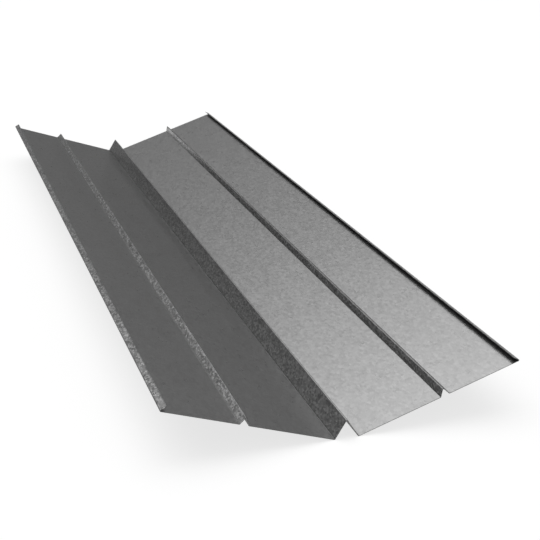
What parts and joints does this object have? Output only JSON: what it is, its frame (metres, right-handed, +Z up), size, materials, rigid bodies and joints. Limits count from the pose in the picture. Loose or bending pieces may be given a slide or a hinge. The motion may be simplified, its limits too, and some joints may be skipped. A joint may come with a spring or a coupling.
{
  "type": "w-valley flashing",
  "caption": "Folded galvanised sheet flashing for a roof valley, W-shaped in section, with a tall centre rib, small ribs on the sloping wings and open hems along the edges.",
  "frame": {"origin": "middle of the length and of the width, on the level that the valley folds rest on", "axes": "+Y along the length of the strip, +X across its width, +Z up, the way water falls onto it"},
  "size_m": [0.5032, 1.65, 0.0843],
  "materials": {
    "galvanised_steel": "satin"
  },
  "bodies": {
    "root": {"valley_sheet": "galvanised_steel"}
  },
  "joints": []
}
